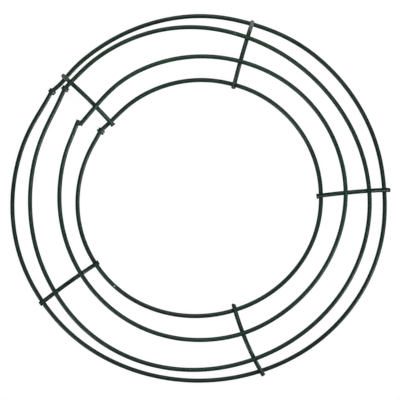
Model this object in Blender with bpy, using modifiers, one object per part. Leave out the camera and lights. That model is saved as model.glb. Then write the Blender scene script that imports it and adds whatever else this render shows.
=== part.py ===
"""A wire wreath frame: four steel rings held at three heights by five bowed cross wires, all resistance welded.

Units are metres and angles are degrees, counter-clockwise from +X as seen from above. +Z is up. The origin is
the middle of the frame's box, on the plane the frame rests on. The outer and inner rings lie on that plane under
the ends of the cross wires, and the second and third rings lie on top of the bow.
"""
import math
from collections import namedtuple

import bmesh
import bpy
import numpy as np
from mathutils import Matrix, Vector

# Wire stock. The eight-sided section measures the wire's diameter across its flats, with a flat straight down.
WIRE_DIAMETER = 0.0034
WIRE_SIDES = 8
FLAT_TURN = 180 / WIRE_SIDES
WIRE_CORNER_RADIUS = WIRE_DIAMETER / 2 / math.cos(math.radians(FLAT_TURN))
RING_STEP = 0.0085
CROSS_WIRE_STEP = 0.0026
END_CROWDING = 0.5

# Heights of the ring centrelines above the rest plane
BASE_HEIGHT = WIRE_DIAMETER / 2
SECOND_HEIGHT = 0.0143
TOP_HEIGHT = 0.0173

# Where the rings' common centre lies from the middle of the frame's box
CENTRE = Vector((-0.00113, 0.00033, 0))

# Crossing welds: the wires sink into each other, and a lens of fused metal fills a pocket cut in both
SET_DOWN = 0.0001
CROSSING_DISTANCE = WIRE_DIAMETER - SET_DOWN
NUGGET_RADII = Vector((0.00110, 0.00110, 0.00055))
LAP_NUGGET_RADII = Vector((0.00120, 0.00100, 0.00060))
CLEARANCE = 0.0002
NUGGET_SEGMENTS = 10
NUGGET_ROWS = 6

# Butt welds of the ring ends: a pinched collar of flash with two lips and a groove between them
COLLAR_LENGTH = 0.0032
LIP_RADIUS = 0.00300
LIP_OFFSET = 0.00075
GROOVE_RADIUS = 0.00235
COLLAR_END_RADIUS = 0.00150
COLLAR_FLATNESS = 0.55
COLLAR_STEPS = 16
END_GAP = COLLAR_LENGTH / 2 + 0.0006

# Bend of the cross wires: nearly straight legs joined by a rounded middle of this length
BEND_LENGTH = 0.022
BEND_PASSES = 40

ABOVE, BELOW = 1, -1

# How far along the rim from a cross wire a ring is drawn in or pushed out by its weld
PULL_REACH = 12

# How a ring's wire leaves the true curve next to its own end: the offset of the end itself, then an inward
# sag that is deepest at reach from the end
End = namedtuple("End", "offset sag reach")

# A ring: where it lies, how far it is off centre, oval and three-lobed, how far each cross wire's weld pulls
# it in, and how its ends meet
Ring = namedtuple(
    "Ring", "name radius height side shift shift_at oval oval_at lobe lobe_at pulls seam lap before after"
)
RINGS = (
    Ring("outer", 0.1510, BASE_HEIGHT, BELOW, 0.0016, -75, 0.0019, 12, 0.0013, -35,
         pulls=(0.0010, 0.0010, 0.0002, 0.0004, 0.0001), seam=144.1, lap=0,
         before=End(0.0006, 0.0011, 0.011), after=End(0.0006, 0.0008, 0.018)),
    Ring("second", 0.1384, SECOND_HEIGHT, ABOVE, 0.0016, -129, 0.0008, -68, 0.0018, -8,
         pulls=(0, 0.0003, 0.0001, 0.0005, 0), seam=140.8, lap=0,
         before=End(0.0014, -0.0006, 0.025), after=End(0.0014, 0.0012, 0.025)),
    Ring("third", 0.1153, TOP_HEIGHT, ABOVE, 0.0023, 7, 0.0009, 30, 0.0006, 18,
         pulls=(-0.0004, 0.0002, 0, 0, -0.0004), seam=147.9, lap=0.0020,
         before=End(-0.00105, 0.0018, 0.020), after=End(0.0025, -0.0008, 0.020)),
    Ring("inner", 0.0982, BASE_HEIGHT, BELOW, 0.0006, -67, 0.0020, 19, 0.0005, -26,
         pulls=(0.0003, 0.0003, 0, 0.0002, 0.0001), seam=145.7, lap=0,
         before=End(0.0007, 0.0009, 0.016), after=End(0.0007, 0.0, 0.012)),
)

# A cross wire: where it crosses the band, its skew from the radius, how far its middle bulges sideways, and
# how far its sheared ends run past the end welds
CrossWire = namedtuple("CrossWire", "name angle skew bulge inner_tail outer_tail")
CROSS_WIRES = (
    CrossWire("right", 2.2, 2.8, 0.0006, 0.0016, 0.0036),
    CrossWire("top", 73.2, 0.6, 0.0005, 0.0012, 0.0011),
    CrossWire("upper_left", 138.2, -2.6, -0.0009, 0.0022, 0.0009),
    CrossWire("lower_left", 213.0, 2.6, -0.0006, 0.0004, 0.0016),
    CrossWire("lower_right", 288.2, 4.8, -0.0016, 0.0034, 0.0029),
)

RING_GREEN = (0.020, 0.043, 0.031)
WELD_GREEN = (0.026, 0.052, 0.038)
PAINT_ROUGHNESS = 0.34
WELD_ROUGHNESS = 0.42


def polar(radius, angle):
    """A plan vector of a length at an angle."""
    return Vector((radius * math.cos(math.radians(angle)), radius * math.sin(math.radians(angle)), 0))


def wave(count, angle):
    """A cosine that repeats count times round the ring."""
    return math.cos(math.radians(count * angle))


# Plan of the rings

def end_offset(end, distance):
    """How far a ring's wire stands outside its true curve at a distance from its end."""
    q = distance / end.reach
    step = end.offset * math.exp(-((q / 0.4) ** 2))
    return step - end.sag * q * math.exp((1 - q * q) / 2)


def ring_radius(ring, angle):
    """Distance of a ring's centreline from the common centre, for an angle between the wire's two ends."""
    lap_angle = math.degrees(ring.lap / 2 / ring.radius)
    from_start = math.radians(angle - ring.seam + lap_angle) * ring.radius
    to_finish = math.radians(ring.seam + 360 + lap_angle - angle) * ring.radius
    radius = ring.radius
    radius += ring.shift * wave(1, angle - ring.shift_at)
    radius += ring.oval * wave(2, angle - ring.oval_at)
    radius += ring.lobe * wave(3, angle - ring.lobe_at)
    for pull, wire in zip(ring.pulls, CROSS_WIRES):
        away = (angle - wire.angle + 180) % 360 - 180
        radius -= pull * math.exp(-((away / PULL_REACH) ** 2))
    return radius + end_offset(ring.after, from_start) + end_offset(ring.before, to_finish)


def ring_radius_at(ring, angle):
    """Distance of a ring's centreline from the common centre, for any angle."""
    return ring_radius(ring, ring.seam + (angle - ring.seam) % 360)


def ring_path(ring):
    """A ring's centreline about the common centre, from one wire end to the other, closer set near the ends."""
    overlap = ring.lap / 2 if ring.lap else -END_GAP
    reach = math.degrees(overlap / ring.radius)
    start, finish = ring.seam - reach, ring.seam + 360 + reach
    steps = round(2 * math.pi * ring.radius / RING_STEP)
    points = []
    for i in range(steps + 1):
        t = i / steps
        t -= END_CROWDING * math.sin(2 * math.pi * t) / (2 * math.pi)
        angle = start + t * (finish - start)
        points.append(polar(ring_radius(ring, angle), angle))
    return points


# Shape of the cross wires, in a frame with +X outward along the wire, +Y sideways and +Z up

def band(wire):
    """The middle and half-width of the band of rings, where a cross wire lies."""
    outer = ring_radius_at(RINGS[0], wire.angle)
    inner = ring_radius_at(RINGS[-1], wire.angle)
    return (outer + inner) / 2, (outer - inner) / 2


def wire_frame(wire):
    """A cross wire's own frame: its origin on the rest plane under the middle of the band."""
    middle, _ = band(wire)
    place = Matrix.Translation(CENTRE + polar(middle, wire.angle))
    return place @ Matrix.Rotation(math.radians(wire.angle + wire.skew), 4, "Z")


def sideways(wire, along):
    """Plan offset of a cross wire's centreline to its left: zero in its middle."""
    _, half = band(wire)
    return -wire.bulge * (along / half) ** 2


def crossings(wire):
    """How far along a cross wire each ring crosses it in plan, from the outer ring inwards."""
    middle, _ = band(wire)
    frame = wire_frame(wire)
    found = []
    for ring in RINGS:
        along = ring.radius - middle
        for _ in range(12):
            point = frame @ Vector((along, sideways(wire, along), 0)) - CENTRE
            angle = math.degrees(math.atan2(point.y, point.x))
            along += ring_radius_at(ring, angle) - point.to_2d().length
        found.append(along)
    return np.array(found)


def bend_terms(along):
    """The terms that a bend is a sum of: level, slope, rounded bend and uneven bend."""
    arm = np.sqrt(along ** 2 + BEND_LENGTH ** 2)
    return np.stack([np.ones_like(along), along, arm, along * arm / BEND_LENGTH], axis=-1)


def bend_slopes(along):
    """The derivatives of the bend terms."""
    arm = np.sqrt(along ** 2 + BEND_LENGTH ** 2)
    uneven = (arm + along ** 2 / arm) / BEND_LENGTH
    return np.stack([np.zeros_like(along), np.ones_like(along), along / arm, uneven], axis=-1)


def bend(wire):
    """The bend that lets a cross wire touch all four rings, and the places along it where it touches them.

    A touching point lies one crossing distance from the ring's centreline, square to the wire's own slope, so
    it is found by repeated correction.
    """
    ring_along = crossings(wire)
    ring_height = np.array([ring.height for ring in RINGS])
    offset = CROSSING_DISTANCE * np.array([ring.side for ring in RINGS])
    touch_along = ring_along
    touch_height = ring_height - offset
    for _ in range(BEND_PASSES):
        terms = np.linalg.solve(bend_terms(touch_along), touch_height)
        slope = bend_slopes(touch_along) @ terms
        length = np.sqrt(1 + slope ** 2)
        touch_along = ring_along + offset * slope / length
        touch_height = ring_height - offset / length
    return terms, touch_along


def wire_point(wire, terms, along):
    """A point of a cross wire's centreline in the wire's own frame."""
    height = bend_terms(np.array([along])) @ terms
    return Vector((along, sideways(wire, along), height[0]))


def wire_slope(wire, terms, along):
    """The unit direction of a cross wire's centreline, outward, in the wire's own frame."""
    _, half = band(wire)
    rise = bend_slopes(np.array([along])) @ terms
    return Vector((1, -2 * wire.bulge * along / half ** 2, rise[0])).normalized()


def wire_path(wire):
    """A cross wire's centreline in its own frame: the bend between the end welds, with straight tails."""
    terms, touch_along = bend(wire)
    outer, inner = float(touch_along[0]), float(touch_along[-1])
    steps = round((outer - inner) / CROSS_WIRE_STEP)
    path = [wire_point(wire, terms, inner + (outer - inner) * i / steps) for i in range(steps + 1)]
    inner_end = path[0] - wire_slope(wire, terms, inner) * wire.inner_tail
    outer_end = path[-1] + wire_slope(wire, terms, outer) * wire.outer_tail
    return [inner_end] + path + [outer_end]


# Building blocks

def clear_scene():
    """Removes whatever the file holds."""
    for obj in list(bpy.data.objects):
        bpy.data.objects.remove(obj, do_unlink=True)


def new_collection(name):
    """A collection linked to the scene."""
    collection = bpy.data.collections.new(name)
    bpy.context.scene.collection.children.link(collection)
    return collection


def paint(name, color, roughness):
    """A paint for one sub-part."""
    material = bpy.data.materials.new(name)
    material.use_nodes = True
    shader = material.node_tree.nodes["Principled BSDF"]
    shader.inputs["Base Color"].default_value = (*color, 1)
    shader.inputs["Roughness"].default_value = roughness
    shader.inputs["Metallic"].default_value = 0.0
    return material


def add_part(name, mesh, matrix, color, roughness):
    """Links a mesh to the model as a named sub-part with its own paint."""
    obj = bpy.data.objects.new(name, mesh)
    obj.matrix_world = matrix
    obj.data.materials.clear()
    obj.data.materials.append(paint(name + "_paint", color, roughness))
    obj.data.shade_smooth()
    obj.data.set_sharp_from_angle(angle=math.radians(50))
    PARTS.objects.link(obj)
    return obj


def wire_mesh(name, points, matrix):
    """A closed tube of wire stock along a path, as a mesh with welded caps."""
    curve = bpy.data.curves.new(name + "_path", "CURVE")
    curve.dimensions = "3D"
    curve.twist_mode = "Z_UP"
    curve.bevel_depth = WIRE_CORNER_RADIUS
    curve.bevel_resolution = WIRE_SIDES // 2 - 2
    curve.use_fill_caps = True
    spline = curve.splines.new("POLY")
    spline.points.add(len(points) - 1)
    for spline_point, point in zip(spline.points, points):
        spline_point.co = (*point, 1)
        spline_point.tilt = math.radians(FLAT_TURN)
    path = bpy.data.objects.new(name + "_path", curve)
    path.matrix_world = matrix
    PARTS.objects.link(path)
    mesh = bpy.data.meshes.new_from_object(path.evaluated_get(bpy.context.evaluated_depsgraph_get()))
    mesh.name = name
    bpy.data.objects.remove(path, do_unlink=True)
    weld = bmesh.new()
    weld.from_mesh(mesh)
    bmesh.ops.remove_doubles(weld, verts=weld.verts, dist=0.00001)
    weld.to_mesh(mesh)
    weld.free()
    return mesh


def lens_mesh(name, radii):
    """A lens of fused metal, flat along its own Z."""
    mesh = bpy.data.meshes.new(name)
    lens = bmesh.new()
    bmesh.ops.create_uvsphere(lens, u_segments=NUGGET_SEGMENTS, v_segments=NUGGET_ROWS, radius=1)
    bmesh.ops.scale(lens, vec=radii, verts=lens.verts)
    lens.to_mesh(mesh)
    lens.free()
    return mesh


def add_weld_lens(name, frame, radii, wires):
    """A weld nugget, and the pocket that holds it in each of its wires."""
    add_part(name, lens_mesh(name, radii), frame, WELD_GREEN, WELD_ROUGHNESS)
    pocket_radii = radii + Vector((CLEARANCE, CLEARANCE, CLEARANCE))
    cutter = bpy.data.objects.new(name + "_pocket", lens_mesh(name + "_pocket", pocket_radii))
    cutter.matrix_world = frame
    cutter.hide_render = True
    cutter.display_type = "WIRE"
    CUTTERS.objects.link(cutter)
    for wire in wires:
        pocket = wire.modifiers.new(name + "_pocket", "BOOLEAN")
        pocket.operation = "DIFFERENCE"
        pocket.solver = "EXACT"
        pocket.object = cutter


def axes_frame(origin, along, normal):
    """A frame at a point, with X near a direction and Z exactly along a normal."""
    z = normal.normalized()
    y = z.cross(along).normalized()
    x = y.cross(z)
    return Matrix.Translation(origin) @ Matrix((x, y, z)).transposed().to_4x4()


# Parts

def add_ring(ring):
    """A ring of wire, open where its ends meet."""
    name = ring.name + "_ring"
    place = Matrix.Translation(CENTRE + Vector((0, 0, ring.height)))
    return add_part(name, wire_mesh(name, ring_path(ring), place), place, RING_GREEN, PAINT_ROUGHNESS)


def add_cross_wire(wire):
    """A bowed cross wire with sheared ends."""
    name = "cross_wire_" + wire.name
    place = wire_frame(wire)
    return add_part(name, wire_mesh(name, wire_path(wire), place), place, RING_GREEN, PAINT_ROUGHNESS)


def add_crossing_welds(wire, cross_wire, rings):
    """The four welds that join a cross wire to the rings."""
    terms, touch_along = bend(wire)
    frame = wire_frame(wire)
    for ring, ring_wire, along in zip(RINGS, rings, touch_along):
        along = float(along)
        direction = frame.to_3x3() @ wire_slope(wire, terms, along)
        left = Vector((0, 0, 1)).cross(direction)
        towards_ring = direction.cross(left).normalized() * ring.side
        middle = frame @ wire_point(wire, terms, along) + towards_ring * CROSSING_DISTANCE / 2
        name = "weld_" + ring.name + "_" + wire.name
        add_weld_lens(name, axes_frame(middle, direction, towards_ring), NUGGET_RADII, (cross_wire, ring_wire))


def seam_frame(ring):
    """A frame where a ring's ends meet: Z along the wire, X outward and Y along the world's vertical."""
    past = math.degrees(END_GAP / ring.radius)
    start = polar(ring_radius(ring, ring.seam + past), ring.seam + past)
    finish = polar(ring_radius(ring, ring.seam + 360 - past), ring.seam + 360 - past)
    middle = (start + finish) / 2 + CENTRE + Vector((0, 0, ring.height))
    return axes_frame(middle, polar(1, ring.seam), start - finish)


def add_collar(ring):
    """The butt weld of a ring's ends: a turned collar, pinched so that it stands no higher than the wire."""
    half = COLLAR_LENGTH / 2
    profile = (
        (0, half), (COLLAR_END_RADIUS, half), (LIP_RADIUS, LIP_OFFSET + 0.0002), (LIP_RADIUS, LIP_OFFSET),
        (GROOVE_RADIUS, 0), (LIP_RADIUS, -LIP_OFFSET), (LIP_RADIUS, -LIP_OFFSET - 0.0002),
        (COLLAR_END_RADIUS, -half), (0, -half),
    )
    mesh = bpy.data.meshes.new("end_weld_" + ring.name)
    outline = [(radius, 0, height) for radius, height in profile]
    mesh.from_pydata(outline, [(i, i + 1) for i in range(len(outline) - 1)], [])
    squash = Matrix.Diagonal((1, COLLAR_FLATNESS, 1, 1))
    collar = add_part(mesh.name, mesh, seam_frame(ring) @ squash, WELD_GREEN, WELD_ROUGHNESS)
    turn = collar.modifiers.new("turn", "SCREW")
    turn.steps = COLLAR_STEPS
    turn.render_steps = COLLAR_STEPS
    turn.use_merge_vertices = True
    turn.merge_threshold = 0.00001


def add_lap_weld(ring, ring_wire):
    """The side weld of a ring whose ends lie next to each other."""
    lap_angle = math.degrees(ring.lap / 2 / ring.radius)
    outside = polar(ring_radius(ring, ring.seam), ring.seam)
    inside = polar(ring_radius(ring, ring.seam + 360), ring.seam)
    middle = (outside + inside) / 2 + CENTRE + Vector((0, 0, ring.height))
    along = polar(1, ring.seam + 90 + lap_angle)
    add_weld_lens("end_weld_" + ring.name, axes_frame(middle, along, outside - inside), LAP_NUGGET_RADII, (ring_wire,))


clear_scene()
PARTS = new_collection("wreath_frame")
CUTTERS = new_collection("cutters")
ring_wires = [add_ring(ring) for ring in RINGS]
for cross in CROSS_WIRES:
    add_crossing_welds(cross, add_cross_wire(cross), ring_wires)
for ring, ring_wire in zip(RINGS, ring_wires):
    if ring.lap:
        add_lap_weld(ring, ring_wire)
    else:
        add_collar(ring)
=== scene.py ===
"""Looks for the wire wreath frame: round painted wires, fused welds, sheared ends and a white studio.

Units are metres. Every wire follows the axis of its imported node, and every weld sits where its node sits.
"""

import math
from collections import namedtuple

import bpy
import numpy as np
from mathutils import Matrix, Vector, noise


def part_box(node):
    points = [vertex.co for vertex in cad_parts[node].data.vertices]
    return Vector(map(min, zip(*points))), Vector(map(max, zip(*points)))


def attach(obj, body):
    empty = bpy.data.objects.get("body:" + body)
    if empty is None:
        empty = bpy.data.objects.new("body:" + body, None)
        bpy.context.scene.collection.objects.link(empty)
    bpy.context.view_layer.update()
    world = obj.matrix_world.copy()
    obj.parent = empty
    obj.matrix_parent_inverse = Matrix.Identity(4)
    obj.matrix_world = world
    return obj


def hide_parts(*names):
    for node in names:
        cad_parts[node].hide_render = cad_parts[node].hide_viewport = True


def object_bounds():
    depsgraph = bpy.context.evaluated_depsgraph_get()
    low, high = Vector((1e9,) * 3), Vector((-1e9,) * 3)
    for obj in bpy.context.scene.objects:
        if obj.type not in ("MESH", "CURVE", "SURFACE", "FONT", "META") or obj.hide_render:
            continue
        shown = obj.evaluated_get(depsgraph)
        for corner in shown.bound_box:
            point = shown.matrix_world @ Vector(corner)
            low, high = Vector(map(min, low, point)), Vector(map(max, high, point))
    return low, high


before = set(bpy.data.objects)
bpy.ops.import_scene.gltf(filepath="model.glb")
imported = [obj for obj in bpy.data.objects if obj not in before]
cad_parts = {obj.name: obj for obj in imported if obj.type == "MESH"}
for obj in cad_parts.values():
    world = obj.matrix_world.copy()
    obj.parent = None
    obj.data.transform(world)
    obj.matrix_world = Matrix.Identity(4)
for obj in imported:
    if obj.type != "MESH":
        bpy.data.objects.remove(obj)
cad_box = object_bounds()

MM = 0.001

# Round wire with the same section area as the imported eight-sided wire, which is measured across its flats
ring_low, ring_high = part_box("outer_ring")
WIRE_RADIUS = (ring_high.z - ring_low.z) / 2 * math.sqrt(8 * math.tan(math.pi / 8) / math.pi)
SIDES = 28
RING_SPACING = 1.6 * MM
CROSS_SPACING = 0.45 * MM

# Reading a packed wire's axis: the steps along it, and the width of the smoothing that removes its facets
SLICE_STEP = 0.5 * MM
SMOOTH_STEP = 0.4 * MM
SMOOTH_WIDTH = 3 * MM

# How much of a wire's end its shaped loops take up, and how far a ring's wire runs on inside its butt weld
TIP_LENGTH = 1.3 * MM
SEAM_OVERLAP = 1.2 * MM

# Welds: the wire inside them, their skin's reach and its loops
CORE_RADIUS = WIRE_RADIUS - 0.045 * MM
WELD_REACH = 2.6 * MM
LAP_WELD_REACH = 3.0 * MM
BLOB_ROWS = 35
BLOB_COLUMNS = 56
BLOB_STEPS = 90

RING_NAMES = ("outer", "second", "third", "inner")
CROSS_NAMES = ("right", "top", "upper_left", "lower_left", "lower_right")

# A sheared end: how far it spreads to its left and right, how much its height is squeezed, the slope of
# the cut in plan and in height, how round its edge is, how far it leans sideways and how far it is drawn
# out. Left and right are as seen looking outward along the cross wire.
Tip = namedtuple("Tip", "left right squeeze slant rake round lean drawn")

# Outer ends of cross wires given a painted highlight, pale paint standing in for light shining on their
# sloping legs: how far back it reaches and how strongly
PaintedHighlight = namedtuple("PaintedHighlight", "length strength")
PAINTED_HIGHLIGHTS = {"top": PaintedHighlight(11 * MM, 0.90), "upper_left": PaintedHighlight(12 * MM, 0.75)}
NO_PAINTED_HIGHLIGHT = PaintedHighlight(1 * MM, 0)
TIPS = {
    "right_inner": Tip(0.22, 0.42, 0.10, 0.0, 0.30, 0.20, 0.0, 0.25),
    "right_outer": Tip(-0.04, 0.0, 0.04, -0.10, 0.40, 0.90, -0.25, 0.25),
    "top_inner": Tip(0.10, -0.05, 0.06, 0.10, 0.30, 0.45, 0.0, 0.35),
    "top_outer": Tip(-0.18, -0.22, 0.04, 0.25, 0.10, 0.45, 0.0, -0.1),
    "upper_left_inner": Tip(0.28, 0.30, 0.10, -0.18, 0.20, 0.16, 0.0, 0.0),
    "upper_left_outer": Tip(-0.18, -0.14, 0.04, 0.10, 0.10, 0.35, -0.35, 0.6),
    "lower_left_inner": Tip(0.15, 0.25, 0.08, -0.15, 0.50, 0.16, 0.0, -0.15),
    "lower_left_outer": Tip(0.16, 0.24, 0.10, 0.20, 0.30, 0.25, 0.0, 0.0),
    "lower_right_inner": Tip(-0.15, -0.35, 0.10, -0.85, 0.70, 0.35, 0.0, 0.6),
    "lower_right_outer": Tip(0.12, 0.00, 0.08, -0.20, 0.30, 0.50, 0.0, 0.0),
}
PLAIN_TIP = Tip(0.04, 0.04, 0.02, 0.04, 0.04, 0.15, 0.0, 0.0)
LAP_TIP = Tip(0.04, 0.04, 0.02, 0.04, 0.04, 0.30, 0.0, 0.7)

# Flash beside a crossing: along the ring, across it and up, then its radius
SPLASHES = {
    ("inner", "top"): ((1.65, 0.15, 0.1, 0.9),),
    ("outer", "right"): ((-1.5, -0.3, 0.0, 0.65),),
    ("inner", "lower_left"): ((-1.5, 0.2, 0.0, 0.65),),
}


# Crossings whose fillet is slimmer than usual: its size
SLIM_FILLETS = {("outer", "upper_left"): 0.6 * MM}

# Flash of a ring's butt weld, in millimetres: how far its lips stand out to the left and right of the
# wire's direction, and how far each is from the seam. Then half a lip's thickness, how full the groove
# between the lips is, and half the length of the whole.
Collar = namedtuple("Collar", "left right spacing")
COLLARS = {
    "outer": Collar(1.40, 1.45, 0.90),
    "second": Collar(1.40, 1.40, 0.90),
    "inner": Collar(1.55, 1.45, 0.98),
}
LIP_HALF = 0.95
GROOVE_FILL = 0.62
COLLAR_HALF = 2.6
COLLAR_SIDES = 56
COLLAR_LOOPS = 75

# How far the third ring's first and last ends are pressed together by their side weld, and how far back it
# bends them
LAP_SQUEEZES = (0.28 * MM, 0.72 * MM)
LAP_REACH = 7 * MM

# View from straight above, a little off the middle, and the floor's half width and drop below the frame
EYE_HEIGHT = 1.5
EYE_SHIFT = (-0.34 * MM, -1.35 * MM)
VIEW_DISTANCE = 1498.5 * MM
VIEW_HALF_WIDTH = 163.7 * MM
FLOOR_HALF = 12
FLOOR_DROP = 0.08 * MM


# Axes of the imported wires

def corners_and_edges(node):
    """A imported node's corners, and the pairs of corners that its edges join."""
    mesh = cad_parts[node].data
    corners = np.array([tuple(v.co) for v in mesh.vertices])
    rounded = np.round(corners / (0.001 * MM))
    _, kept, place = np.unique(rounded, axis=0, return_index=True, return_inverse=True)
    edges = place.ravel()[np.array([tuple(e.vertices) for e in mesh.edges])]
    return corners[kept], edges


def unwound(angle, edges):
    """Angles round an open ring that run on without a jump from one of its ends to the other."""
    neighbours = [[] for _ in angle]
    for a, b in edges:
        neighbours[a].append(b)
        neighbours[b].append(a)
    start = int(np.argmin(np.abs(angle - math.pi)))
    result = {start: angle[start]}
    waiting = [start]
    while waiting:
        here = waiting.pop()
        for there in neighbours[here]:
            if there not in result:
                step = (angle[there] - angle[here] + math.pi) % math.tau - math.pi
                result[there] = result[here] + step
                waiting.append(there)
    return np.array([result[i] for i in range(len(angle))])


def sliced(along, across, high, edges, margin):
    """The middle of a wire's section at even steps along it, as rows of along, across and high."""
    first, second = edges[:, 0], edges[:, 1]
    rows = []
    for at in np.arange(along.min() + margin, along.max() - margin, SLICE_STEP):
        cut = (along[first] - at) * (along[second] - at) < 0
        a, b = first[cut], second[cut]
        share = (at - along[a]) / (along[b] - along[a])
        y = across[a] + share * (across[b] - across[a])
        z = high[a] + share * (high[b] - high[a])
        rows.append((at, (y.min() + y.max()) / 2, (z.min() + z.max()) / 2))
    return np.array(rows)


def to_ends(path, first_corners, last_corners):
    """A path run on straight at both ends as far as a wire's corners go."""
    along, _, _ = frames(path)
    first = ((first_corners - path[0]) @ -along[0]).max()
    last = ((last_corners - path[-1]) @ along[-1]).max()
    return np.concatenate([[path[0] - along[0] * first], path, [path[-1] + along[-1] * last]])


def ring_axis(ring):
    """The axis of a packed ring, counter-clockwise from one of its ends to the other."""
    corners, edges = corners_and_edges(ring + "_ring")
    middle = (corners.min(axis=0) + corners.max(axis=0)) / 2
    seam = box_middle("end_weld_" + ring) - middle
    size = math.hypot(seam[0], seam[1])
    seam_angle = math.atan2(seam[1], seam[0])
    plan = corners[:, :2] - middle[:2]
    angle = unwound((np.arctan2(plan[:, 1], plan[:, 0]) - seam_angle) % math.tau, edges)
    rows = sliced(angle * size, np.hypot(plan[:, 0], plan[:, 1]), corners[:, 2], edges, 0.9 * MM)
    turns = rows[:, 0] / size + seam_angle
    path = np.stack([rows[:, 1] * np.cos(turns) + middle[0], rows[:, 1] * np.sin(turns) + middle[1],
                     np.full(len(rows), middle[2])], axis=1)
    near = 3 * MM / size
    first_corners = corners[angle < angle.min() + near]
    last_corners = corners[angle > angle.max() - near]
    return to_ends(smoothed(path, SMOOTH_WIDTH), first_corners, last_corners)


def polynomial(x, y, degree):
    """A curve through a wire's middles that takes no notice of the places where a pocket shifts them."""
    keep = np.full(len(x), True)
    for _ in range(6):
        terms = np.polynomial.Polynomial.fit(x[keep], y[keep], degree)
        miss = np.abs(terms(x) - y)
        keep = miss < max(0.04 * MM, 1.5 * np.median(miss))
    return terms


def cross_axis(cross):
    """The axis of a packed cross wire, from its inner end to its outer end."""
    corners, edges = corners_and_edges("cross_wire_" + cross)
    middle = corners.mean(axis=0)
    plan = corners[:, :2] - middle[:2]
    forward = np.linalg.svd(plan, full_matrices=False)[2][0]
    forward *= np.sign(forward @ middle[:2])
    left = np.array((-forward[1], forward[0]))
    rows = sliced(plan @ forward, plan @ left, corners[:, 2], edges, 1.4 * MM)
    at = rows[:, 0]
    across = polynomial(at, rows[:, 1], 3)(at)
    high = polynomial(at, rows[:, 2], 9)(at)
    path = middle[:2] + at[:, None] * forward + across[:, None] * left
    return to_ends(np.concatenate([path, high[:, None]], axis=1), corners, corners)


def resampled(points, spacing):
    """The same path with evenly spaced points."""
    travel = np.concatenate([[0], np.cumsum(np.linalg.norm(np.diff(points, axis=0), axis=1))])
    at = np.linspace(0, travel[-1], max(2, round(travel[-1] / spacing)) + 1)
    return np.stack([np.interp(at, travel, points[:, i]) for i in range(3)], axis=1)


def smoothed(points, width):
    """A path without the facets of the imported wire, with its ends kept in place."""
    fine = resampled(points, SMOOTH_STEP)
    half = min(round(3 * width / SMOOTH_STEP), len(fine) - 1)
    before = 2 * fine[0] - fine[half:0:-1]
    after = 2 * fine[-1] - fine[-2:-half - 2:-1]
    padded = np.concatenate([before, fine, after])
    kernel = np.exp(-0.5 * (np.arange(-half, half + 1) * SMOOTH_STEP / width) ** 2)
    kernel /= kernel.sum()
    return np.stack([np.convolve(padded[:, i], kernel, mode="valid") for i in range(3)], axis=1)


def frames(path):
    """Unit vectors along a path, to its left and above it, at each of its points."""
    along = np.gradient(path, axis=0)
    along /= np.linalg.norm(along, axis=1, keepdims=True)
    left = np.cross((0, 0, 1), along)
    left /= np.linalg.norm(left, axis=1, keepdims=True)
    return along, left, np.cross(along, left)


def extended(path, length):
    """A path with straight extensions at both ends."""
    along, _, _ = frames(path)
    return np.concatenate([[path[0] - along[0] * length], path, [path[-1] + along[-1] * length]])


def box_middle(node):
    """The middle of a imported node's box."""
    low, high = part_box(node)
    return np.array((low + high) / 2)


# Meshes

def add_piece(name, vertices, faces, material, nodes, bare=None, painted_highlight=None):
    """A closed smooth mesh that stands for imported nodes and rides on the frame."""
    mesh = bpy.data.meshes.new(name)
    mesh.from_pydata([tuple(v) for v in vertices], [], faces)
    mesh.validate()
    mesh.shade_smooth()
    mesh.set_sharp_from_angle(angle=math.radians(55))
    # The second attribute holds how much pale paint stands in for a highlight at each point; the first marks
    # the worn, bare ends.
    for key, values in (("bare", bare), ("painted_highlight", painted_highlight)):
        layer = mesh.attributes.new(key, "FLOAT", "POINT")
        layer.data.foreach_set("value", np.zeros(len(vertices)) if values is None else values)
    mesh.materials.append(material)
    piece = bpy.data.objects.new(name, mesh)
    bpy.context.scene.collection.objects.link(piece)
    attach(piece, "root")
    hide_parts(*nodes)
    return piece


def loft_faces(count, sides):
    """Faces of a tube of stacked loops, closed by a point at each end: the two points come last."""
    faces = []
    for i in range(count - 1):
        for j in range(sides):
            k = (j + 1) % sides
            faces.append((i * sides + j, i * sides + k, (i + 1) * sides + k, (i + 1) * sides + j))
    first, last = count * sides, count * sides + 1
    for j in range(sides):
        k = (j + 1) % sides
        faces.append((first, k, j))
        faces.append((last, (count - 1) * sides + j, (count - 1) * sides + k))
    return faces


def ripple(point, size):
    """Smooth noise between about -1 and 1 whose lumps are a given size across."""
    return noise.noise(Vector(point) / size)


def tip_loops(tip):
    """The loops from a wire's side to the middle of its cut: distance back from the cut, radius and wear."""
    edge = tip.round * MM
    loops = [(back * MM, 1, 0) for back in (0.9, 0.6) if back * MM > edge + 0.15 * MM]
    loops += [(edge + 0.12 * MM, 1, 0.1), (edge, 1, 0.25)]
    for turn in (30, 60, 90):
        angle = math.radians(turn)
        loops.append((edge * (1 - math.sin(angle)), 1 - edge / WIRE_RADIUS * (1 - math.cos(angle)), 0.9))
    inside = loops[-1][1]
    for share in (0.78, 0.54, 0.28):
        loops.append((0, inside * share, 1))
    return loops


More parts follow.
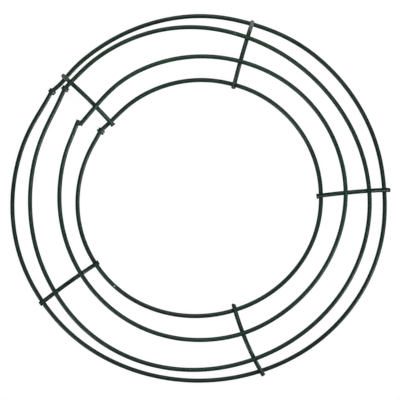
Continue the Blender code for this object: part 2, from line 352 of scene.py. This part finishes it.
def wire(name, path, start_tip, finish_tip, material, nodes, seed, end_highlight=NO_PAINTED_HIGHLIGHT):
    """A round wire along a path with a sheared end at each end."""
    along, left, above = frames(path)
    travel = np.concatenate([[0], np.cumsum(np.linalg.norm(np.diff(path, axis=0), axis=1))])
    stations = []
    for back, scale, wear in reversed(tip_loops(start_tip)):
        stations.append((back, scale, wear, 0))
    for at in travel:
        if TIP_LENGTH < at < travel[-1] - TIP_LENGTH:
            stations.append((at, 1, 0, None))
    for back, scale, wear in tip_loops(finish_tip):
        stations.append((travel[-1] - back, scale, wear, 1))
    turns = np.arange(SIDES) * math.tau / SIDES
    vertices, bare, painted_highlight = [], [], []
    offset = Vector((seed * 0.37, seed * 0.11, seed * 0.53))

    def between(rows, at):
        """A row of numbers per point of the path, read off at a distance along it."""
        return np.array([np.interp(at, travel, rows[:, i]) for i in range(3)])

    def place(at, across, high):
        """A point of the wire from the distance along it and the place in its section."""
        middle = between(path, at)
        forward, to_left, upward = (between(vectors, at) for vectors in (along, left, above))
        to_finish = travel[-1] - at
        tip, near, sign = (start_tip, at, -1) if at < to_finish else (finish_tip, to_finish, 1)
        grip = math.exp(-((near / (0.75 * MM)) ** 2))
        lean = math.exp(-((near / (2.2 * MM)) ** 2))
        burr = math.exp(-((near / (0.3 * MM)) ** 2))
        spread = tip.left if across > 0 else tip.right
        wide = across * (1 + spread * grip + 0.12 * burr * max(spread, 0)) + tip.lean * lean * MM
        tall = high * (1 - tip.squeeze * grip)
        slide = sign * grip * (tip.slant * across - tip.rake * max(high, -0.4 * WIRE_RADIUS)) * 0.5
        slide += sign * lean * tip.drawn * MM
        return middle + forward * slide + to_left * wide + upward * tall

    for at, scale, wear, end in stations:
        for turn in turns:
            across, high = math.cos(turn), math.sin(turn)
            rough = place(at, across * WIRE_RADIUS, high * WIRE_RADIUS)
            spot = Vector(rough) + offset
            lump = 0.022 * ripple(spot, 14 * MM) + 0.012 * ripple(spot, 3.2 * MM) - 0.012
            radius = (WIRE_RADIUS + lump * MM) * scale
            point = place(at, across * radius, high * radius)
            if wear > 0.5:
                torn = 0.07 * ripple(Vector(rough) * 1.3 + offset * 2, 0.45 * MM)
                torn *= 1.2 if high < 0.2 else 0.35
                direction = along[0] * -1 if end == 0 else along[-1]
                point = point + direction * torn * MM * min(1, wear)
            vertices.append(point)
            bare.append(wear)
            # Painted highlight: the paint pales towards the outer end, fully on the wire's upper side and a
            # third as much underneath, standing in for light shining on the leg.
            back = min(max((travel[-1] - at) / end_highlight.length, 0), 1)
            painted_highlight.append(end_highlight.strength * (1 - back ** 3) * (1 if high > -0.2 else 0.3))
    first = place(0, 0, 0)
    last = place(travel[-1], 0, 0)
    vertices += [first, last]
    bare += [1, 1]
    painted_highlight += [0, end_highlight.strength]
    faces = loft_faces(len(stations), SIDES)
    return add_piece(name, vertices, faces, material, nodes, bare, painted_highlight)


# Smoothly joined solids, as distances from their surfaces

def rod(points, middle, direction, radius, near=None, far=None):
    """Distance from a round rod; near and far are where its ends are along its direction."""
    offset = points - middle
    at = offset @ direction
    out = np.linalg.norm(offset - at[..., None] * direction, axis=-1) - radius
    if far is not None:
        out = np.maximum(out, at - far)
    if near is not None:
        out = np.maximum(out, near - at)
    return out


def ball(points, middle, radius):
    """Distance from a ball."""
    return np.linalg.norm(points - middle, axis=-1) - radius


def fuse(a, b, blend):
    """Distance from two solids joined by a fillet."""
    share = np.maximum(blend - np.abs(a - b), 0) / blend
    return np.minimum(a, b) - share * share * blend / 4


def fused_blob(name, origin, pole, solid, reach, material, nodes, seed, painted_highlight=None):
    """The metal within reach of a weld's middle, as a closed skin seen from that middle."""
    z = np.array(pole) / np.linalg.norm(pole)
    x = np.cross(z, (0.31, 0.87, 0.12))
    x /= np.linalg.norm(x)
    y = np.cross(z, x)
    directions = []
    for i in range(BLOB_ROWS):
        u = 2 * (i + 1) / (BLOB_ROWS + 1) - 1
        latitude = math.pi / 2 * (0.6 * u + 0.4 * u ** 3)
        for j in range(BLOB_COLUMNS):
            turn = math.tau * j / BLOB_COLUMNS
            flat = x * math.cos(turn) + y * math.sin(turn)
            directions.append(flat * math.cos(latitude) + z * math.sin(latitude))
    directions += [-z, z]
    directions = np.array(directions)
    uneven = np.array([ripple(Vector(d) + Vector((seed, 0, 0)), 0.55) for d in directions])
    steps = np.linspace(0.02, 1, BLOB_STEPS) * reach
    points = origin + directions[:, None, :] * steps[None, :, None]
    values = solid(points, uneven[:, None])
    values[:, -1] = np.maximum(values[:, -1], 1e-7)
    outside = values > 0
    first = np.argmax(outside, axis=1)
    index = np.arange(len(directions))
    previous = np.maximum(first - 1, 0)
    a, b = values[index, previous], values[index, first]
    share = np.where(first > 0, a / np.minimum(a - b, -1e-12), 0)
    distance = steps[previous] + (steps[first] - steps[previous]) * np.clip(share, 0, 1)
    vertices = origin + directions * distance[:, None]
    # Painted highlight on the weld's skin, where its cross wire carries one.
    pale = None if painted_highlight is None else painted_highlight(vertices)
    faces = loft_faces(BLOB_ROWS, BLOB_COLUMNS)
    return add_piece(name, vertices, faces, material, nodes, painted_highlight=pale)


def nearest(path, point):
    """The path's point nearest to a place, its direction there and how far its two ends are."""
    index = int(np.argmin(np.linalg.norm(path - point, axis=1)))
    along, _, _ = frames(path)
    travel = np.concatenate([[0], np.cumsum(np.linalg.norm(np.diff(path, axis=0), axis=1))])
    direction = along[index]
    at = (point - path[index]) @ direction
    here = travel[index] + at
    return path[index] + direction * at, direction, -here, travel[-1] - here


def crossing_weld(ring, cross, ring_path, cross_path, material, seed):
    """The fillet of fused metal and paint where a cross wire lies on a ring."""
    node = "weld_" + ring + "_" + cross
    origin = box_middle(node)
    ring_point, ring_along, _, _ = nearest(ring_path, origin)
    cross_point, cross_along, near, far = nearest(cross_path, origin)
    blend = SLIM_FILLETS.get((ring, cross), (1.55 + 0.35 * math.sin(seed * 2.4)) * MM)
    sideways = np.cross((0, 0, 1), ring_along)
    extra = []
    for along, across, up, radius in SPLASHES.get((ring, cross), ()):
        middle = origin + (ring_along * along + sideways * across + np.array((0, 0, up))) * MM
        extra.append((middle, radius * MM))

    def solid(points, uneven):
        """Distance from the two wires and the flash beside them."""
        metal = fuse(rod(points, ring_point, ring_along, CORE_RADIUS),
                     rod(points, cross_point, cross_along, CORE_RADIUS, near + 0.15 * MM, far - 0.15 * MM),
                     blend * (1 + 0.45 * uneven))
        for middle, radius in extra:
            metal = fuse(metal, ball(points, middle, radius), 0.8 * MM)
        return np.maximum(metal, 0.06 * MM - points[..., 2])

    end_highlight = PAINTED_HIGHLIGHTS.get(cross, NO_PAINTED_HIGHLIGHT)

    def painted_highlight(points):
        """How strong the painted highlight is where the weld's skin lies on the cross wire: pale paint
        standing in for light shining there.
        """
        back = np.clip((far - (points - cross_point) @ cross_along) / end_highlight.length, 0, 1)
        on_wire = rod(points, cross_point, cross_along, CORE_RADIUS) < 0.15 * MM
        return end_highlight.strength * (1 - back ** 3) * on_wire

    pole = cross_point - ring_point
    return fused_blob(ring + "_" + cross + "_weld", origin, pole, solid, WELD_REACH, material, (node,),
                      seed, painted_highlight)


def lap_weld(ring_path, material):
    """The weld between the third ring's two ends, which lie side by side."""
    along, _, _ = frames(ring_path)
    outer_end, inner_end = ring_path[0], ring_path[-1]
    outer_along, inner_along = along[0], along[-1]
    if np.linalg.norm(outer_end[:2]) < np.linalg.norm(inner_end[:2]):
        outer_end, inner_end, outer_along, inner_along = inner_end, outer_end, -inner_along, -outer_along
    origin = (outer_end + inner_end) / 2
    across = inner_end - outer_end
    across -= (across @ outer_along) * outer_along
    across /= np.linalg.norm(across)
    inner_corner = inner_end + inner_along * 0.30 * MM - across * 0.9 * MM
    outer_corner = outer_end - outer_along * 0.25 * MM + across * 0.8 * MM

    def solid(points, uneven):
        """Distance from both ends and the metal in the corners beside them."""
        metal = fuse(rod(points, outer_end, outer_along, CORE_RADIUS, 0.15 * MM, None),
                     rod(points, inner_end, inner_along, CORE_RADIUS, None, -0.15 * MM),
                     1.7 * MM * (1 + 0.3 * uneven))
        metal = fuse(metal, ball(points, inner_corner, 1.0 * MM), 0.7 * MM)
        return fuse(metal, ball(points, outer_corner, 0.55 * MM), 0.7 * MM)

    return fused_blob("third_lap_weld", origin, (0, 0, 1), solid, LAP_WELD_REACH, material,
                      ("end_weld_third",), 4.2)


def collar(ring, ring_path, material, seed):
    """The flash squeezed out round a ring's butt weld: two rounded lips with a groove between them."""
    shape = COLLARS[ring]
    along, _, _ = frames(ring_path)
    start, finish = ring_path[0], ring_path[-1]
    middle = (start + finish) / 2
    forward = along[0] + along[-1]
    forward /= np.linalg.norm(forward)
    left = np.cross((0, 0, 1), forward)
    floor = middle[2] - WIRE_RADIUS + 0.025 * MM
    stations = np.linspace(-COLLAR_HALF, COLLAR_HALF, COLLAR_LOOPS)
    vertices = []
    for x in stations:
        for j in range(COLLAR_SIDES):
            turn = math.tau * j / COLLAR_SIDES
            across, high = math.cos(turn), math.sin(turn)
            lumps = ripple(Vector((across * 0.7, high * 0.7, seed + (0 if x < 0 else 7))), 0.9)
            grain = ripple(Vector((across, high, seed + x * 0.5)), 0.9)
            proud = shape.left if across > 0 else shape.right
            reach = (0.45 + (proud - 0.45) * abs(across) ** 1.3) * (1 + 0.20 * lumps)
            off = (abs(x) - shape.spacing * (1 + 0.12 * grain)) / LIP_HALF
            lip = math.sqrt(max(1 - off * off, 0))
            if abs(x) < shape.spacing:
                lip = max(lip, GROOVE_FILL)
            fade = min(1, (COLLAR_HALF - abs(x)) / 0.5)
            radius = CORE_RADIUS / MM + fade * (0.10 + reach * lip + 0.05 * grain)
            point = middle + (forward * x + left * across * radius) * MM
            point[2] += high * min(radius, 2.3) * MM
            point[2] = max(point[2], floor)
            vertices.append(point)
    vertices += [middle + forward * stations[0] * MM, middle + forward * stations[-1] * MM]
    faces = loft_faces(COLLAR_LOOPS, COLLAR_SIDES)
    return add_piece(ring + "_butt_weld", vertices, faces, material, ("end_weld_" + ring,))


# Materials

def add_node(tree, kind, **values):
    """A shader node with its properties set."""
    node = tree.nodes.new(kind)
    for key, value in values.items():
        setattr(node, key, value)
    return node


def noise_node(tree, coordinates, scale, detail):
    """A noise texture in the object's own space."""
    node = add_node(tree, "ShaderNodeTexNoise")
    node.inputs["Scale"].default_value = scale
    node.inputs["Detail"].default_value = detail
    tree.links.new(coordinates, node.inputs["Vector"])
    return node.outputs["Fac"]


def ranged(tree, value, low, high, to_low, to_high):
    """A value mapped from one range to another."""
    node = add_node(tree, "ShaderNodeMapRange")
    tree.links.new(value, node.inputs["Value"])
    for key, number in zip(("From Min", "From Max", "To Min", "To Max"), (low, high, to_low, to_high)):
        node.inputs[key].default_value = number
    return node.outputs["Result"]


def maths(tree, operation, a, b):
    """A sum of two shader values, or another operation on them."""
    node = add_node(tree, "ShaderNodeMath", operation=operation)
    for socket, value in zip(node.inputs, (a, b)):
        if isinstance(value, (int, float)):
            socket.default_value = value
        else:
            tree.links.new(value, socket)
    return node.outputs["Value"]


def mixed(tree, share, a, b):
    """A mix of two colours."""
    node = add_node(tree, "ShaderNodeMix", data_type="RGBA")
    tree.links.new(share, node.inputs["Factor"])
    for socket, value in ((node.inputs[6], a), (node.inputs[7], b)):
        if isinstance(value, tuple):
            socket.default_value = (*value, 1)
        else:
            tree.links.new(value, socket)
    return node.outputs[2]


def pale_spot_mask(tree, coordinates, speck, pale_spots):
    """A mask of small pale spots in the paint: each is a middle and a radius."""
    total = None
    for middle, radius in pale_spots:
        away = add_node(tree, "ShaderNodeVectorMath", operation="DISTANCE")
        tree.links.new(coordinates, away.inputs[0])
        away.inputs[1].default_value = middle
        ragged = ranged(tree, speck, 0.3, 0.7, radius * 0.55, -radius * 0.55)
        rough = maths(tree, "ADD", away.outputs["Value"], ragged)
        mask = ranged(tree, rough, radius * 0.75, radius * 0.95, 1, 0)
        total = mask if total is None else maths(tree, "MAXIMUM", total, mask)
    return total


def paint(name, green, roughness, pale_spots=()):
    """Semi-gloss enamel over steel: orange peel, uneven film, dust, bare ends, small pale spots, and a
    painted highlight, pale paint that stands in for light shining on some wire ends.
    """
    material = bpy.data.materials.new(name)
    material.use_nodes = True
    tree = material.node_tree
    shader = tree.nodes["Principled BSDF"]
    coordinates = add_node(tree, "ShaderNodeTexCoord").outputs["Object"]
    cloud = noise_node(tree, coordinates, 28, 2)
    mottle = noise_node(tree, coordinates, 330, 4)
    speck = noise_node(tree, coordinates, 1900, 3)
    peel = noise_node(tree, coordinates, 1150, 2)

    deep = tuple(c * 0.80 for c in green)
    pale = tuple(c * 1.22 + 0.001 for c in green)
    colour = mixed(tree, ranged(tree, cloud, 0.35, 0.65, 0, 1), deep, pale)
    faded = tuple(c * 1.5 + 0.004 for c in green)
    colour = mixed(tree, ranged(tree, mottle, 0.52, 0.72, 0, 0.35), colour, faded)
    dust = ranged(tree, speck, 0.64, 0.74, 0, 0.14)
    colour = mixed(tree, dust, colour, (0.10, 0.11, 0.10))

    # Painted highlight: a pale grey-green mixed in by the attribute, standing in for light shining on the
    # outer ends of two cross wires.
    painted_highlight = add_node(tree, "ShaderNodeAttribute", attribute_name="painted_highlight").outputs["Fac"]
    painted_highlight = maths(tree, "MULTIPLY", painted_highlight, ranged(tree, mottle, 0.35, 0.60, 0.7, 1))
    colour = mixed(tree, painted_highlight, colour, (0.300, 0.370, 0.330))

    worn = add_node(tree, "ShaderNodeAttribute", attribute_name="bare").outputs["Fac"]
    worn = maths(tree, "MULTIPLY", worn, ranged(tree, mottle, 0.35, 0.60, 0.45, 1))
    worn = ranged(tree, worn, 0.30, 0.75, 0, 0.85)
    steel = mixed(tree, ranged(tree, speck, 0.40, 0.62, 0, 1), (0.030, 0.024, 0.019), (0.085, 0.072, 0.060))
    colour = mixed(tree, worn, colour, steel)

    gloss = ranged(tree, mottle, 0.35, 0.70, roughness - 0.05, roughness + 0.09)
    gloss = maths(tree, "ADD", gloss, maths(tree, "MULTIPLY", worn, 0.18))
    metal = maths(tree, "MULTIPLY", worn, 0.55)
    if pale_spots:
        pale_spot_share = pale_spot_mask(tree, coordinates, speck, pale_spots)
        colour = mixed(tree, pale_spot_share, colour, (0.62, 0.66, 0.64))
        gloss = maths(tree, "ADD", gloss, maths(tree, "MULTIPLY", pale_spot_share, 0.2))
    tree.links.new(colour, shader.inputs["Base Color"])
    tree.links.new(gloss, shader.inputs["Roughness"])
    tree.links.new(metal, shader.inputs["Metallic"])
    shader.inputs["Specular IOR Level"].default_value = 0.5

    relief = maths(tree, "ADD", maths(tree, "MULTIPLY", peel, 0.8), maths(tree, "MULTIPLY", speck, 0.35))
    bump = add_node(tree, "ShaderNodeBump")
    bump.inputs["Strength"].default_value = 0.30
    bump.inputs["Distance"].default_value = 0.05 * MM
    tree.links.new(relief, bump.inputs["Height"])
    tree.links.new(bump.outputs["Normal"], shader.inputs["Normal"])
    return material


# Object

ring_paths = {ring: resampled(ring_axis(ring), RING_SPACING) for ring in RING_NAMES}
cross_paths = {cross: resampled(cross_axis(cross), CROSS_SPACING) for cross in CROSS_NAMES}

third_path = ring_paths["third"]
press = third_path[-1] - third_path[0]
press /= np.linalg.norm(press)
for end, push in ((0, press * LAP_SQUEEZES[0]), (-1, -press * LAP_SQUEEZES[1])):
    away = np.linalg.norm(third_path - third_path[end], axis=1)
    steps = np.arange(len(third_path)) if end == 0 else np.arange(len(third_path))[::-1]
    near = steps * RING_SPACING < 4 * LAP_REACH
    bend = np.where(near, np.exp(-((away / LAP_REACH) ** 2)), 0)
    ring_paths["third"] = ring_paths["third"] + bend[:, None] * push

rings_middle = np.mean([(path.max(axis=0) + path.min(axis=0)) / 2 for path in ring_paths.values()], axis=0)


def on_ring(ring, angle, height):
    """A place on a ring's skin at an angle round the rings' middle, a height above the axis."""
    path = ring_paths[ring]
    angles = np.degrees(np.arctan2(path[:, 1] - rings_middle[1], path[:, 0] - rings_middle[0]))
    index = int(np.argmin(np.abs((angles - angle + 180) % 360 - 180)))
    return tuple(path[index] + np.array((0, 0, height)))


def groove_spot(ring):
    """A place in the groove of a ring's butt weld, on the side towards the rings' middle."""
    path = ring_paths[ring]
    seam = (path[0] + path[-1]) / 2
    inward = rings_middle - seam
    inward[2] = 0
    inward /= np.linalg.norm(inward)
    return tuple(seam + (inward * 1.5 + np.array((0, 0, 1.75))) * MM)


GREENS = {
    "outer": (0.0085, 0.0370, 0.0225),
    "second": (0.0085, 0.0420, 0.0255),
    "third": (0.0100, 0.0460, 0.0280),
    "inner": (0.0125, 0.0460, 0.0290),
}
# Small pale spots on the rings: the inner ring's two are chipped paint, and the second ring's one is a pale
# dot on the wire's top.
PALE_SPOTS = {
    "second": ((on_ring("second", 78, 0.88 * WIRE_RADIUS), 0.45 * MM),),
    "inner": ((on_ring("inner", 226, 0.82 * WIRE_RADIUS), 0.8 * MM),
              (on_ring("inner", 214, 0.82 * WIRE_RADIUS), 0.45 * MM)),
}
ring_paints = {ring: paint(ring + "_paint", GREENS[ring], 0.34, PALE_SPOTS.get(ring, ())) for ring in RING_NAMES}
cross_paint = paint("cross_paint", (0.0120, 0.0430, 0.0285), 0.30)
WELD_GREEN = (0.0120, 0.0420, 0.0280)
weld_paint = paint("weld_paint", WELD_GREEN, 0.38)
# The butt-weld flash of the outer and inner rings has a small pale spot in its groove.
collar_paint = paint("collar_paint", WELD_GREEN, 0.38,
                     [(groove_spot(ring), 0.47 * MM) for ring in ("outer", "inner")])

for number, ring in enumerate(RING_NAMES):
    path = ring_paths[ring]
    shown = path if ring == "third" else extended(path, SEAM_OVERLAP)
    tip = LAP_TIP if ring == "third" else PLAIN_TIP
    wire(ring + "_ring_wire", shown, tip, tip, ring_paints[ring], (ring + "_ring",), number)
    if ring != "third":
        collar(ring, path, collar_paint, 3.1 * number + 1)
lap_weld(ring_paths["third"], weld_paint)
for number, cross in enumerate(CROSS_NAMES):
    inner_tip, outer_tip = TIPS[cross + "_inner"], TIPS[cross + "_outer"]
    wire(cross + "_cross_wire", cross_paths[cross], inner_tip, outer_tip, cross_paint,
         ("cross_wire_" + cross,), 10 + number, PAINTED_HIGHLIGHTS.get(cross, NO_PAINTED_HIGHLIGHT))
    for place, ring in enumerate(RING_NAMES):
        seed = 1.7 * number + 0.9 * place
        crossing_weld(ring, cross, ring_paths[ring], cross_paths[cross], weld_paint, seed)


# Studio

def floor_material():
    """A white floor: bright to the camera, darker in reflections."""
    material = bpy.data.materials.new("floor")
    material.use_nodes = True
    tree = material.node_tree
    tree.nodes.clear()
    seen = add_node(tree, "ShaderNodeLightPath").outputs["Is Camera Ray"]
    white = add_node(tree, "ShaderNodeBsdfDiffuse")
    white.inputs["Color"].default_value = (0.12, 0.12, 0.12, 1)
    glow = add_node(tree, "ShaderNodeEmission")
    glow.inputs["Strength"].default_value = 0.95
    bright = add_node(tree, "ShaderNodeAddShader")
    grey = add_node(tree, "ShaderNodeBsdfDiffuse")
    grey.inputs["Color"].default_value = (0.06, 0.06, 0.06, 1)
    choice = add_node(tree, "ShaderNodeMixShader")
    out = add_node(tree, "ShaderNodeOutputMaterial")
    tree.links.new(white.outputs[0], bright.inputs[0])
    tree.links.new(glow.outputs[0], bright.inputs[1])
    tree.links.new(seen, choice.inputs[0])
    tree.links.new(grey.outputs[0], choice.inputs[1])
    tree.links.new(bright.outputs[0], choice.inputs[2])
    tree.links.new(choice.outputs[0], out.inputs["Surface"])
    return material


def add_floor():
    """A wide flat floor under the frame."""
    mesh = bpy.data.meshes.new("floor")
    corners = [(x * FLOOR_HALF, y * FLOOR_HALF, 0) for x, y in ((-1, -1), (1, -1), (1, 1), (-1, 1))]
    mesh.from_pydata(corners, [], [(0, 1, 2, 3)])
    floor = bpy.data.objects.new("floor", mesh)
    floor.location.z = cad_box[0].z - FLOOR_DROP
    mesh.materials.append(floor_material())
    bpy.context.scene.collection.objects.link(floor)


def add_light(name, azimuth, elevation, distance, width, height, power, target=(0, 0), spread=180):
    """A soft box seen in a direction from a target in plan; a narrow spread lights little else."""
    light = bpy.data.lights.new(name, "AREA")
    light.shape = "RECTANGLE"
    light.size = width
    light.size_y = height
    light.energy = power
    light.spread = math.radians(spread)
    lamp = bpy.data.objects.new(name, light)
    a, e = math.radians(azimuth), math.radians(elevation)
    away = Vector((math.cos(a) * math.cos(e), math.sin(a) * math.cos(e), math.sin(e)))
    lamp.location = Vector((*target, 0)) + away * distance
    lamp.rotation_euler = away.to_track_quat("Z", "Y").to_euler()
    bpy.context.scene.collection.objects.link(lamp)


def add_world():
    """A white room to the camera, and a dark grey one in reflections."""
    world = bpy.data.worlds.new("room")
    bpy.context.scene.world = world
    world.use_nodes = True
    tree = world.node_tree
    tree.nodes.clear()
    seen = add_node(tree, "ShaderNodeLightPath").outputs["Is Camera Ray"]
    room = add_node(tree, "ShaderNodeBackground")
    room.inputs["Color"].default_value = (0.07, 0.07, 0.07, 1)
    backdrop = add_node(tree, "ShaderNodeBackground")
    backdrop.inputs["Color"].default_value = (1.0, 1.0, 1.0, 1)
    choice = add_node(tree, "ShaderNodeMixShader")
    out = add_node(tree, "ShaderNodeOutputWorld")
    tree.links.new(seen, choice.inputs[0])
    tree.links.new(room.outputs[0], choice.inputs[1])
    tree.links.new(backdrop.outputs[0], choice.inputs[2])
    tree.links.new(choice.outputs[0], out.inputs["Surface"])


def add_camera():
    """A long lens straight above the frame, with the top of the picture towards +Y."""
    camera = bpy.data.cameras.new("camera")
    camera.sensor_width = 36
    camera.lens = camera.sensor_width / 2 * VIEW_DISTANCE / VIEW_HALF_WIDTH
    camera.clip_start = 0.1
    camera.clip_end = 50
    eye = bpy.data.objects.new("camera", camera)
    middle = (cad_box[0] + cad_box[1]) / 2
    eye.location = (middle.x + EYE_SHIFT[0], middle.y + EYE_SHIFT[1], EYE_HEIGHT)
    bpy.context.scene.collection.objects.link(eye)
    bpy.context.scene.camera = eye


add_floor()
add_world()
LEFT_SIDE = (-0.12, 0.07)
UPPER_RIGHT = (0.10, 0.09)
add_light("right_low", -30, 13, 1.4, 0.5, 0.2, 5)
add_light("left_low", 222, 14, 1.4, 0.5, 0.2, 3.2)
add_light("right_grid", -22, 37, 1.3, 0.35, 0.3, 0.12, LEFT_SIDE, 24)
add_light("left_grid", 226, 34, 1.3, 0.35, 0.3, 0.065, UPPER_RIGHT, 24)
add_light("top_wide", 95, 38, 1.5, 1.3, 0.3, 4.2)
add_light("overhead", 60, 68, 1.8, 1.2, 1.2, 5.0)
add_camera()
bpy.context.scene.view_settings.view_transform = "Standard"
